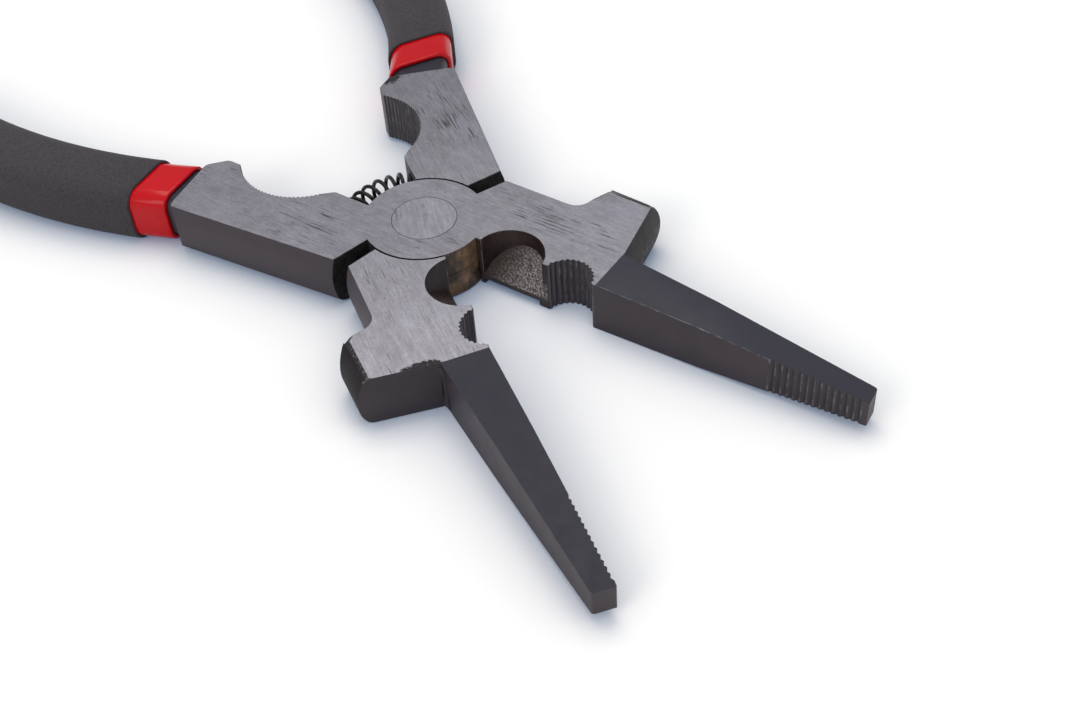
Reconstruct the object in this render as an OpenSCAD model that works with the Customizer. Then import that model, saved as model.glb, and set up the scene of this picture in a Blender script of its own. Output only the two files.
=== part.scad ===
// Welding pliers with a spring return: two drop-forged levers crossed in a lap joint
// on a flush rivet. Needle nose, hammer lobes, wire cutter, small toothed bite for a
// contact tip, large toothed bite for a gas nozzle, dipped and foam-covered handles.
//
// Every lever is drawn in its own frame, shut, as the upper lever: the closing plane
// is x = 0, its jaw lies on the -x side and points along +y, its handle lies on the
// +x side. The rivet's axis is the z axis and the underside of the head is z = 0.

/* [Head and lap joint] */
// Thickness of the ground head
head_t = 10.2; // [9.6:0.1:11.4]
// Diameter of the half-thickness disc at the middle of each lever
disc_d = 22.5; // [21.5:0.1:23.5]
// Gap between a disc and the pocket that it turns in
disc_gap = 0.4; // [0.2:0.05:0.5]
// Gap between the two faces of the lap joint
lap_gap = 0.1; // [0.05:0.01:0.2]
// Gap left between the jaw faces when the pliers are shut
jaw_gap = 0.3; // [0.2:0.05:0.5]
// Angle between the levers where the spring holds them
rest_open = 34.5; // [26:0.5:38]

/* [Rivet] */
// Diameter of the rivet's shank
rivet_d = 8.4; // [7:0.1:9.5]
// Diameter of its two countersunk heads, which are ground flush
rivet_head_d = 12; // [11:0.1:13.5]
// Running clearance of the lower lever around the rivet
rivet_play = 0.05; // [0.02:0.01:0.1]

/* [Neck and hammer lobe] */
// Width of the neck from the closing plane to its outer flank
neck_w = 16.3; // [15.6:0.1:17.2]
// Angle of the neck's shoulder above the cross line, where opening stops
neck_shoulder_a = 22.5; // [21:0.1:25]
// Where the ground face ends and the nose starts, ahead of the rivet
face_y = 36.2; // [35.6:0.1:37.5]
// Width from the closing plane to the corner of the lobe
lobe_w = 23.7; // [22.5:0.1:25]
// Where the lobe's rear corner lies ahead of the rivet
lobe_rear_y = 25.2; // [23.8:0.1:25.6]
// How far the notch between the neck and the lobe drops behind that corner
lobe_notch = 2.4; // [1.5:0.1:3]
// Radius at the bottom of that notch
lobe_notch_r = 3; // [2:0.1:4]
// How far the lobe's front corner lies behind the end of the ground face
lobe_front_back = 2.4; // [1:0.1:3]
// The same for the lower lever, which is dressed off less there
lower_front_back = 1.4; // [1:0.1:3]
// Width of the lobe at its front corner
lobe_front_w = 23.3; // [21.5:0.1:23.8]
// How far the lobe's outer end swells out halfway down
lobe_swell = 2; // [1:0.1:2.4]
// Radius of the lobe's rear corner
lobe_corner = 6.5; // [4:0.5:8]
// How much more the lower lever's lobe is dressed off
lower_lobe_trim = 1.4; // [0:0.1:2]
// How far the forged flanks swell out halfway down
flank_swell = 1; // [0.4:0.1:1.5]
// Radius along the lower edges of the forged flanks
flank_low_r = 2.4; // [1:0.1:3]
// Radius along the lower edge of the lobe's outer end
lobe_low_r = 2.9; // [1:0.1:3]
// Radius along the lower edge of the lobe's front
lobe_front_low_r = 0.4; // [0.2:0.1:1]

/* [Needle nose] */
// Length of the nose in front of the ground face
nose_len = 50.2; // [42:0.2:60]
// Width of the nose at its root
nose_root_w = 9.3; // [8:0.1:10.5]
// Width of the nose at its tip
nose_tip_w = 3.9; // [3:0.1:5]
// Thickness of the nose at its tip
nose_tip_t = 5; // [4:0.1:6.5]
// Thickness of the nose where its taper steepens
nose_mid_t = 9.2; // [8:0.1:9.6]
// Distance from the root to where the taper steepens
nose_mid_len = 19.5; // [10:0.5:28]
// How far the root of the lower lever's nose stands back from the closing plane
lower_nose_back = 0.8; // [0:0.1:1]
// Radius of the forged fillet between the nose and the lobe
nose_fillet = 2; // [1:0.1:3]
// How far the tip stands back from the closing plane
nose_relief = 0.45; // [0:0.05:0.8]
// Length of the toothed bite at the tip
nose_bite_len = 17.4; // [10:0.2:24]
// Spacing of the teeth in the nose
nose_pitch = 1.16; // [0.9:0.02:1.6]
// Depth of the teeth in the nose
nose_tooth = 0.4; // [0.2:0.05:0.6]

/* [Wire cutter] */
// Where the cutter's pocket is centred, ahead of the rivet
cutter_y = 18.8; // [18.4:0.1:19.4]
// Radius of the pocket
cutter_r = 6.5; // [5.8:0.1:6.8]
// How far its centre lies beyond the closing plane
cutter_over = 0.6; // [0:0.1:1.5]
// Depth of the pocket's wall at its far side
cutter_wall = 3.2; // [2:0.1:5]
// Height of the cutting edge above the underside of the head
cutter_edge_z = 2.6; // [2:0.1:4]
// Height of the flat below the cutting edge
cutter_flat = 0.8; // [0.4:0.1:1.2]
// Depth of the bevel under the cutting edge
cutter_back = 0.7; // [0.3:0.1:1.2]

/* [Contact tip bite] */
// Where the small bite is centred, ahead of the rivet
tip_bite_y = 31; // [30.6:0.1:31.2]
// Radius of the small bite
tip_bite_r = 4.3; // [3.8:0.1:4.5]
// How far its centre lies beyond the closing plane
tip_bite_over = 0.4; // [0:0.1:1]
// Teeth around its whole circle
tip_bite_teeth = 28; // [16:2:32]
// Depth of those teeth
tip_bite_tooth = 0.4; // [0.2:0.05:0.6]

/* [Nozzle bite] */
// Where the large bite is centred, behind the rivet
nozzle_y = 30.9; // [30:0.1:31.5]
// Radius of the large bite
nozzle_r = 12.3; // [11.5:0.1:12.8]
// How far its centre lies beyond the closing plane
nozzle_over = 3.4; // [3:0.1:4.5]
// Teeth around its whole circle
nozzle_teeth = 96; // [60:4:108]
// Depth of those teeth
nozzle_tooth = 0.3; // [0.2:0.05:0.4]

/* [Handle block] */
// Distance from the closing plane to the block's inner flank
block_in = 2.3; // [2:0.1:3]
// Distance from the closing plane to the front of its outer flank
block_front_w = 17.3; // [16.5:0.1:18]
// Where the front corner of its outer flank lies behind the rivet
block_front_y = 6.9; // [6.6:0.1:8]
// Slope of the block's shoulder, where opening stops
block_shoulder_a = 12.5; // [10:0.5:15]
// Distance from the closing plane to the rear of its outer flank
block_rear_w = 20.9; // [20:0.1:22]
// Where the rear corner of its outer flank lies behind the rivet
block_rear_y = 43.2; // [42.4:0.1:44]
// Depth of the slant that leads from the inner flank into the large bite
mouth_in = 3.3; // [2.5:0.1:4]
// Where that slant ends, ahead of the large bite's centre
mouth_y = 8.2; // [7.5:0.1:9]
// Distance from the closing plane to the lug behind the large bite
lug_in = 4.9; // [4.4:0.1:6]
// Length of the lug's face
lug_len = 3; // [2.5:0.1:4]
// Distance from the closing plane to the inner corner of the rear edge
lug_rear_w = 8.2; // [7.5:0.1:9]
// Where the inner corner of the rear edge lies behind the rivet
lug_rear_y = 46; // [45:0.1:47]

/* [Return spring] */
// Outside diameter of the coil
spring_d = 6; // [4.6:0.1:6.4]
// Diameter of the spring wire
spring_wire = 0.9; // [0.6:0.05:1]
// Turns of the coil, seated ends and all
spring_turns = 9.5; // [7:0.5:10]
// Distance of the coil's seats behind the rivet
seat_y = 15.5; // [15.3:0.1:16]
// Depth of the blind seats
seat_depth = 3; // [2:0.1:4]
// Clearance around and behind the coil in its seats
seat_play = 0.2; // [0.15:0.05:0.3]

/* [Handles] */
// Radius of the bow of the handles along their centre line
bow_r = 116; // [100:1:140]
// Farthest distance from the closing plane to that centre line
bow_w = 23.7; // [22.5:0.1:25]
// Where the bow is farthest out, behind the rivet
bow_y = 92; // [88:1:96]
// Where the rounded ends of the handles are centred, behind the rivet
handle_end_y = 122; // [112:1:135]
// Width of the steel tang
tang_w = 11; // [10.2:0.1:12]
// Thickness of the steel tang
tang_t = 9; // [8:0.1:9.4]
// Radius of the tang's corners
tang_corner = 2.1; // [1:0.1:3]
// Wall of the dipped vinyl sleeve
sleeve_wall = 0.9; // [0.7:0.1:1.3]
// Where the upper lever's dip line lies behind the rivet
upper_dip = 47.8; // [47.2:0.1:52]
// Slope of that dip line across the handle
upper_dip_a = 8; // [0:1:20]
// Where the lower lever's dip line lies behind the rivet
lower_dip = 47.6; // [46.6:0.1:52]
// Slope of that dip line across the handle
lower_dip_a = -4; // [-8:1:10]
// Length of sleeve that shows in front of the foam
sleeve_show = 7; // [4:0.2:14]
// Wall of the foam grip
grip_wall = 0.6; // [0.5:0.1:2]

/* [Hidden] */

$fn = 96;
arc_steps = 6;
// Length that runs past any edge of the head when a body is cut or kept by a prism
past = 80;
// Overrun of a cut past the face that it starts from
over = 1;

mid_z = head_t / 2;
half_open = rest_open / 2;
disc_r = disc_d / 2;
pocket_r = disc_r + disc_gap;
closing_x = -jaw_gap / 2;
nose_tip_y = face_y + nose_len;
// Where the body of the nose starts inside the head
nose_root_in = 3;
nose_root_y = face_y - nose_root_in;
head_depth = (rivet_head_d - rivet_d) / 2;
seat_r = spring_d / 2 + seat_play;
root_a = asin((bow_y - lug_rear_y) / bow_r) + 2;
end_a = asin((bow_y - handle_end_y) / bow_r);
// Shortest flat left in front of the last tooth of the nose
tip_land_min = 0.6;
// Corners of the nose's tip, and how far its outer one lies behind the inner one
tip_inner_r = 0.25;
tip_outer_r = 0.6;
tip_back = 0.3;
// How far the lobe's front runs out beside the nose before it slopes back
knee_out = 0.7;
// Shallow step from the fillet onto the faces of the nose
fillet_step = 0.2;
// Corners of the handle block
block_front_r = 0.6;
block_rear_r = 3;
lug_r = 1.5;
mouth_r = 1;
// Flat left between the spring's seat and the slant into the large bite
seat_lip = 0.2;

// Corners of outlines that start and end inside the joint disc
inside = disc_r / 2;

steel = "#8f8f95";
black_steel = "#3b3b42";
red_vinyl = "#c8202c";
foam = "#3f3c3e";

function xy(p) = [p[0], p[1]];
function unit(v) = v / norm(v);
function polar(r, a) = r * [cos(a), sin(a)];
function turned(v, a) = [v[0] * cos(a) - v[1] * sin(a), v[0] * sin(a) + v[1] * cos(a)];

// Points of one corner [x, y, r] between its neighbours, rounded to the radius r
function corner(before, here, after) =
    let (p = xy(here), u = unit(xy(before) - p), v = unit(xy(after) - p), half = acos(u * v) / 2,
         centre = p + unit(u + v) * here[2] / sin(half), start = p + u * here[2] / tan(half) - centre,
         turn = (cross(u, v) < 0 ? 1 : -1) * (180 - 2 * half))
    here[2] == 0 ? [p] : [for (k = [0 : arc_steps]) centre + turned(start, turn * k / arc_steps)];

// Outline through corners [x, y, r], listed anticlockwise or clockwise
function rounded(corners) =
    let (n = len(corners))
    [for (i = [0 : n - 1]) each corner(corners[(i + n - 1) % n], corners[i], corners[(i + 1) % n])];

// Circle of triangular teeth: tips at radius r, roots deeper by tooth
function toothed_circle(r, teeth, tooth) =
    [for (i = [0 : 2 * teeth - 1]) polar(r + (i % 2 == 0 ? 0 : tooth), i * 180 / teeth)];

// Body of an outline, past both faces of the head, which are ground once it is whole
module past_faces() {
    translate([0, 0, -over])
        linear_extrude(head_t + 2 * over)
            children();
}

// Everything to the left of the line between two top-edge corners, as a prism whose
// side is a forged flank: swollen halfway down and rounded along its lower edge
module left_of_flank(start, end, swell, low_r) {
    way = end - start;
    flank_r = (mid_z * mid_z + swell * swell) / (2 * swell);
    swell_low = sqrt(flank_r * flank_r - (mid_z - low_r) * (mid_z - low_r)) - (flank_r - swell);
    // The low rounding stands out a little where it starts, so that it crosses the flank
    low_x = 0.98 * low_r - swell_low;
    translate([start[0], start[1], 0])
        rotate([0, 0, atan2(way[1], way[0])])
            translate([-past, 0, 0])
                rotate([90, 0, 90])
                    linear_extrude(norm(way) + 2 * past)
                        difference() {
                            union() {
                                translate([flank_r - swell, mid_z])
                                    circle(flank_r, $fn = 180);
                                translate([flank_r - swell, -2 * over])
                                    square([past, head_t + 4 * over]);
                            }
                            difference() {
                                translate([-past, -past])
                                    square([past + low_x, past + low_r]);
                                translate([low_x, low_r])
                                    circle(low_r);
                            }
                        }
}

// Neck from the joint to the lobe, behind the cutter and the small bite
module neck() {
    shoulder = polar(inside, 180 - neck_shoulder_a);
    outer = neck_w + flank_swell + over;
    intersection() {
        past_faces()
            polygon([[closing_x, 0], shoulder, [-outer, outer * tan(neck_shoulder_a)],
                     [-outer, tip_bite_y], [closing_x, tip_bite_y]]);
        left_of_flank([-neck_w, lobe_rear_y], [-neck_w, 0], flank_swell, flank_low_r);
    }
}

// Hammer lobe on the shoulder of the jaw, narrower by trim, with its front corner set back,
// whose inner face runs out to the root of the nose, nose_back from the closing plane
module lobe(trim, front_back, nose_back) {
    front = [trim - lobe_front_w, face_y - front_back];
    rear = [trim - lobe_w, lobe_rear_y];
    knee = [-nose_root_w - knee_out, face_y];
    outer_x = rear[0] - lobe_swell - over;
    intersection() {
        past_faces()
            polygon(rounded([[closing_x, cutter_y, 0], [closing_x, tip_bite_y, 0],
                             [closing_x - nose_back, face_y, 0],
                             [-nose_root_w, face_y, 0], [knee[0], knee[1] + over, 0],
                             [outer_x, knee[1] + over, 0],
                             [outer_x, lobe_rear_y, lobe_corner],
                             [-neck_w, lobe_rear_y - lobe_notch, lobe_notch_r],
                             [-neck_w, cutter_y - 2 * over, 0]]));
        left_of_flank(front, rear, lobe_swell, lobe_low_r);
        left_of_flank(knee, front, flank_swell, lobe_front_low_r);
    }
}

// Slim nose with a toothed bite at its tip, whose root stands back from the closing plane
module nose(nose_back) {
    slope = (nose_relief - nose_back) / (nose_tip_y - face_y);
    teeth = floor((nose_bite_len - tip_land_min) / nose_pitch);
    tip_land = nose_bite_len - teeth * nose_pitch;
    bite_y = nose_tip_y - nose_bite_len;
    function inner_x(y) = closing_x - nose_back - slope * (y - face_y);
    outer_slope = (nose_root_w - nose_tip_w - nose_relief) / nose_len;
    outer_root_x = closing_x - nose_root_w - outer_slope * (face_y - nose_root_y);
    intersection() {
        past_faces()
            polygon(concat(
                [[closing_x - nose_back, nose_root_y], [closing_x - nose_back, face_y]],
                [for (k = [0 : teeth - 1], half = [0, 0.5])
                    let (y = bite_y + (k + half) * nose_pitch)
                    [inner_x(y) - (half == 0 ? 0 : nose_tooth), y]],
                [[inner_x(nose_tip_y - tip_land), nose_tip_y - tip_land]],
                rounded([[inner_x(nose_tip_y), nose_tip_y, tip_inner_r],
                         [inner_x(nose_tip_y) - nose_tip_w, nose_tip_y - tip_back, tip_outer_r],
                         [outer_root_x, nose_root_y, 0]])));
        rotate([90, 0, -90])
            linear_extrude(past, center = true)
                nose_side();
    }
}

// Forged fillet between the outer flank of the nose and the front of the lobe
module nose_root_fillet() {
    fillet_t = nose_mid_t - 2 * fillet_step;
    side = nose_fillet + fillet_step;
    translate([-nose_root_w, face_y, mid_z - fillet_t / 2])
        linear_extrude(fillet_t)
            difference() {
                translate([-side, -nose_fillet])
                    square([side + over, 2 * nose_fillet - fillet_step]);
                translate([-side, nose_fillet - fillet_step])
                    circle(nose_fillet);
            }
}

// Side view of the nose, drawn with -y to the right
module nose_side() {
    mid_y = face_y + nose_mid_len;
    polygon([for (side = [1, -1]) each
        [for (step = side > 0 ? [0, 1, 2, 3, 4] : [4, 3, 2, 1, 0])
            let (y = [nose_root_y, face_y, face_y, mid_y, nose_tip_y][step],
                 t = [head_t + 2 * over, head_t + 2 * over, head_t, nose_mid_t, nose_tip_t][step])
            [-y, mid_z + side * t / 2]]]);
}

// Block behind the joint that carries the large bite, the spring's seat and the tang
module handle_block() {
    front = [block_front_w, -block_front_y];
    rear = [block_rear_w, -block_rear_y];
    inner_front = front[0] - inside;
    // Overrun of the outline past the widest line of its flank
    swell_x = flank_swell + 0.2;
    intersection() {
        past_faces()
            polygon(rounded([
                [block_in, -inside, 0],
                [inside, inner_front * tan(block_shoulder_a) - block_front_y, 0],
                [front[0] + swell_x, front[1] - swell_x * tan(block_shoulder_a), block_front_r],
                [rear[0] + swell_x, rear[1], block_rear_r],
                [lug_rear_w, -lug_rear_y, lug_r],
                [lug_in, lug_len - lug_rear_y, lug_r],
                [lug_in, -nozzle_y - nozzle_r / 2, 0],
                [block_in + mouth_in, mouth_y - nozzle_y, 0],
                [block_in, -seat_y - seat_r - seat_lip, mouth_r]]));
        left_of_flank(rear, front, flank_swell, flank_low_r);
    }
}

// Sweeps a section along the bow of the handle, from one angle to another
module along_bow(from, to) {
    translate([bow_w - bow_r, -bow_y, mid_z])
        rotate([0, 0, to])
            rotate_extrude(angle = from - to)
                translate([bow_r, 0])
                    children();
}

// Rounded end of a handle: the section turned about the centre of the end
module bow_end() {
    translate([bow_w - bow_r, -bow_y, mid_z])
        rotate([0, 0, end_a])
            translate([bow_r, 0, 0])
                rotate_extrude()
                    intersection() {
                        children();
                        translate([0, -past / 2])
                            square(past);
                    }
}

// Handle section, a given wall larger than the tang on every side
module section(wall) {
    x = tang_w / 2 + wall;
    y = tang_t / 2 + wall;
    r = tang_corner + wall;
    polygon(rounded([[x, y, r], [-x, y, r], [-x, -y, r], [x, -y, r]]));
}

// Solid handle of a section, from an angle of the bow to its rounded end
module handle(wall, from) {
    along_bow(from, end_a)
        section(wall);
    bow_end()
        section(wall);
}

// Space in front of a sloping line across the handle at a distance behind the rivet
module in_front_of(distance, slope_a) {
    rotate([0, 0, slope_a])
        translate([-past, -distance, -past])
            cube([2 * past, past, 2 * past]);
}

// Pocket with a sloping floor, whose low side is the cutting edge
module cutter_pocket() {
    far = cutter_r - cutter_over + closing_x;
    drop = head_t - cutter_wall - cutter_edge_z;
    intersection() {
        translate([cutter_over, cutter_y, 0])
            cylinder(r = cutter_r, h = head_t + over);
        translate([closing_x, 0, cutter_edge_z])
            rotate([0, atan2(drop, far), 0])
                translate([-past, 0, 0])
                    cube([2 * past, 2 * cutter_y, past]);
    }
}

// Bevel under the cutting edge
module cutter_bevel() {
    low = cutter_edge_z - cutter_flat;
    translate([0, cutter_y + cutter_r - over, 0])
        rotate([90, 0, 0])
            linear_extrude(2 * (cutter_r - over))
                polygon([[closing_x + over, -over], [closing_x + over, low], [closing_x, low],
                         [closing_x - cutter_back, -0.01], [closing_x - cutter_back, -over]]);
}

// Lever in its own frame. own_z and other_z say where its disc and the pocket for the
// other lever's disc start, play widens the rivet's hole, and the last three are the lobe's
module lever(own_z, other_z, play, trim, front_back, nose_back) {
    half_t = (head_t - lap_gap) / 2;
    difference() {
        intersection() {
            union() {
                difference() {
                    union() {
                        neck();
                        lobe(trim, front_back, nose_back);
                        nose(nose_back);
                        nose_root_fillet();
                        handle_block();
                        handle(0, root_a);
                    }
                    translate([0, 0, other_z])
                        cylinder(r = pocket_r, h = half_t + lap_gap + over);
                }
                translate([0, 0, own_z])
                    cylinder(r = disc_r, h = half_t + over);
            }
            translate([-past, -2 * past, 0])
                cube([2 * past, 4 * past, head_t]);
        }
        rivet(play);
        cutter_pocket();
        cutter_bevel();
        translate([tip_bite_over, tip_bite_y, -over])
            linear_extrude(head_t + 2 * over)
                polygon(toothed_circle(tip_bite_r, tip_bite_teeth, tip_bite_tooth));
        translate([-nozzle_over, -nozzle_y, -over])
            linear_extrude(head_t + 2 * over)
                polygon(toothed_circle(nozzle_r, nozzle_teeth, nozzle_tooth));
        translate([block_in - over, -seat_y, mid_z])
            rotate([0, 90, 0])
                cylinder(r = seat_r, h = seat_depth + over);
    }
}

// Rivet shank with a countersunk head at each face, larger by play all round
module rivet(play) {
    for (side = [0, 1])
        translate([0, 0, side * head_t])
            mirror([0, 0, side])
                cylinder(r1 = rivet_head_d / 2 + play, r2 = rivet_d / 2 + play, h = head_depth);
    cylinder(r = rivet_d / 2 + play, h = head_t);
}

// Places a piece of the upper lever at rest
module at_upper() {
    rotate([0, 0, half_open])
        children();
}

// Places a piece of the lower lever at rest: the mirror image
module at_lower() {
    mirror([1, 0, 0])
        rotate([0, 0, half_open])
            children();
}

module upper_lever() {
    color(steel)
        at_upper()
            lever((head_t + lap_gap) / 2, -over, 0, 0, lobe_front_back, 0);
}

module lower_lever() {
    color(steel)
        at_lower()
            lever(-over, (head_t - lap_gap) / 2, rivet_play, lower_lobe_trim, lower_front_back,
                  lower_nose_back);
}

module pivot_rivet() {
    color(steel)
        rivet(0);
}

// Vinyl sleeve from a dip line to the end of the handle
module sleeve(dip, dip_a) {
    color(red_vinyl)
        difference() {
            handle(sleeve_wall, root_a);
            handle(0, root_a);
            in_front_of(dip, dip_a);
        }
}

// Foam grip over a sleeve, which shows in front of it
module grip(dip, dip_a) {
    color(foam)
        difference() {
            handle(sleeve_wall + grip_wall, root_a);
            handle(sleeve_wall, root_a);
            in_front_of(dip + sleeve_show, dip_a);
        }
}

module upper_sleeve() {
    at_upper()
        sleeve(upper_dip, upper_dip_a);
}

module lower_sleeve() {
    at_lower()
        sleeve(lower_dip, lower_dip_a);
}

module upper_grip() {
    at_upper()
        grip(upper_dip, upper_dip_a);
}

module lower_grip() {
    at_lower()
        grip(lower_dip, lower_dip_a);
}

// The coil bows between its two seats along an arc that is square to both
spring_bow_y = block_in / sin(half_open);
spring_bow_r = block_in / tan(half_open) + seat_y;
spring_free_len = 2 * half_open * PI / 180 * spring_bow_r;
spring_end_len = seat_depth - seat_play - spring_wire / 2;
spring_len = spring_free_len + 2 * spring_end_len;
spring_coil_r = (spring_d - spring_wire) / 2;
spring_rings_per_turn = 18;
spring_sides = 8;

// Point of the coil's axis and its direction, at a length s from its middle
function spring_axis(s) =
    let (bow_s = max(-spring_free_len / 2, min(spring_free_len / 2, s)),
         a = bow_s / spring_bow_r * 180 / PI)
    [[spring_bow_r * sin(a) + (s - bow_s) * cos(a),
      spring_bow_y - spring_bow_r * cos(a) + (s - bow_s) * sin(a), mid_z],
     [cos(a), sin(a), 0]];

// Ring of points around the wire at the fraction t of the coil
function spring_ring(t) =
    let (axis = spring_axis((t - 0.5) * spring_len), turn = 360 * spring_turns * t,
         out = cos(turn) * [axis[1][1], -axis[1][0], 0] + sin(turn) * [0, 0, 1],
         around = cross(axis[1], out),
         way = unit(axis[1] * spring_len / spring_turns + around * 2 * PI * spring_coil_r),
         side = cross(way, out))
    [for (k = [0 : spring_sides - 1])
        axis[0] + spring_coil_r * out
            + spring_wire / 2 * (cos(360 * k / spring_sides) * out
                                 + sin(360 * k / spring_sides) * side)];

module return_spring() {
    rings = round(spring_turns * spring_rings_per_turn);
    color(black_steel)
        polyhedron(
            points = [for (i = [0 : rings]) each spring_ring(i / rings)],
            faces = concat(
                [[for (k = [spring_sides - 1 : -1 : 0]) k]],
                [for (i = [0 : rings - 1], k = [0 : spring_sides - 1])
                    let (a = i * spring_sides, b = a + spring_sides, next = (k + 1) % spring_sides)
                    [a + k, a + next, b + next, b + k]],
                [[for (k = [0 : spring_sides - 1]) rings * spring_sides + k]]));
}

upper_lever();
pivot_rivet();
return_spring();
lower_lever();
upper_sleeve();
lower_sleeve();
upper_grip();
lower_grip();
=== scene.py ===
"""Looks of the welding pliers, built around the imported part. Metres, in the part's own frame."""

import math

import bmesh
import bpy
from mathutils import Matrix, Vector


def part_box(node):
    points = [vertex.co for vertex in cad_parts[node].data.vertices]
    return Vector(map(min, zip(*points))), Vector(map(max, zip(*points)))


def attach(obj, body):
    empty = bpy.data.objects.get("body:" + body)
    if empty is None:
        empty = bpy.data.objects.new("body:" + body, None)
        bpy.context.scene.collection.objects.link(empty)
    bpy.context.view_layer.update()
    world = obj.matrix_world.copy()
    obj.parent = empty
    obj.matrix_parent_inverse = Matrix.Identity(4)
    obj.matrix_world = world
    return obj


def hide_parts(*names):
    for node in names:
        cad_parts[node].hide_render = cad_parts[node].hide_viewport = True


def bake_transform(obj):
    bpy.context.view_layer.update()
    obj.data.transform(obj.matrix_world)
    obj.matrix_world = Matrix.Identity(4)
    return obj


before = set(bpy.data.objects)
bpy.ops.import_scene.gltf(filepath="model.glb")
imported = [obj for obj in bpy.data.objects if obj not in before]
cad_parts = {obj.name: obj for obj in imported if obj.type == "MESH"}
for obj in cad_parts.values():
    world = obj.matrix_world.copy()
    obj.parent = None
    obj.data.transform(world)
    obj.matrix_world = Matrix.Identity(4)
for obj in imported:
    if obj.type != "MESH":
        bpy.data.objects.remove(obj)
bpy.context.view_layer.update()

# How far each lever is turned at rest from shut
HALF_OPEN = math.radians(17.25)

# Sizes of the forgings and the spring, in metres
HEAD_T = 0.0102
MID_Z = HEAD_T / 2
FACE_Y = 0.0362
DISC_R = 0.01125
RIVET_R = 0.006
CUTTER_Y = 0.0188
CUTTER_R = 0.0065
CUTTER_OVER = 0.0006
CUTTER_LOW_Z = 0.0018
CUTTER_BACK = 0.0007
CLOSING_X = -0.00015
TIP_BITE_Y = 0.031
TIP_BITE_REACH = 0.0062
NOZZLE_BITE_Y = -0.0309
NOZZLE_BITE_REACH = 0.0130
LOBE_END_X = -0.0205
TANG_Y = -0.048
BLOCK_IN = 0.0023
SEAT_Y = 0.0155
SEAT_DEPTH = 0.003
SEAT_END_GAP = 0.0003
SPRING_D = 0.006
SPRING_WIRE = 0.00075

SPRING_TURNS = 11
STEPS_PER_TURN = 28
# How much closer together the end turns lie, as a share of the length
CLOSE_ENDS = 0.035

# How much lower the cutting edge comes, and where its flat and its bevel then end
EDGE_DROP = 0.0005
EDGE_DROP_FROM_X = -0.0060
EDGE_DROP_RUN = 0.0058
FLAT_LOW_Z = 0.0011
BEVEL_FURTHER_BACK = 0.0009
POCKET_FOOT_BACK = 0.0008

# Widths of the broken edges
LOBE_CORNER_W = 0.0011
THROAT_CORNER_W = 0.0005
LONG_CORNER_W = 0.00014
SLEEVE_RIM_W = 0.0004
GRIP_RIM_W = 0.00018
RIVET_RIM_W = 0.00012

# How close a point, in metres, or a normal counts as lying in a plane
NEAR = 1e-4
SAME = 2e-5
LEVEL = 0.99
# Angles between the facets of a curved surface, in radians
CURVED_FROM, CURVED_TO = 0.01, 0.25

SIDES = {"upper": 1, "lower": -1}


# ---------------------------------------------------------------- node helpers

# The colour sockets of a Mix node: two inputs and the output
MIX_A, MIX_B, MIX_OUT = 6, 7, 2


def add_node(tree, kind, values=(), **settings):
    """A new node, with its sockets, by place or label, linked or set to a value."""
    made = tree.nodes.new(kind)
    for key, value in settings.items():
        setattr(made, key, value)
    for key, value in dict(values).items():
        if isinstance(value, bpy.types.NodeSocket):
            tree.links.new(value, made.inputs[key])
        else:
            made.inputs[key].default_value = value
    return made


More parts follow.
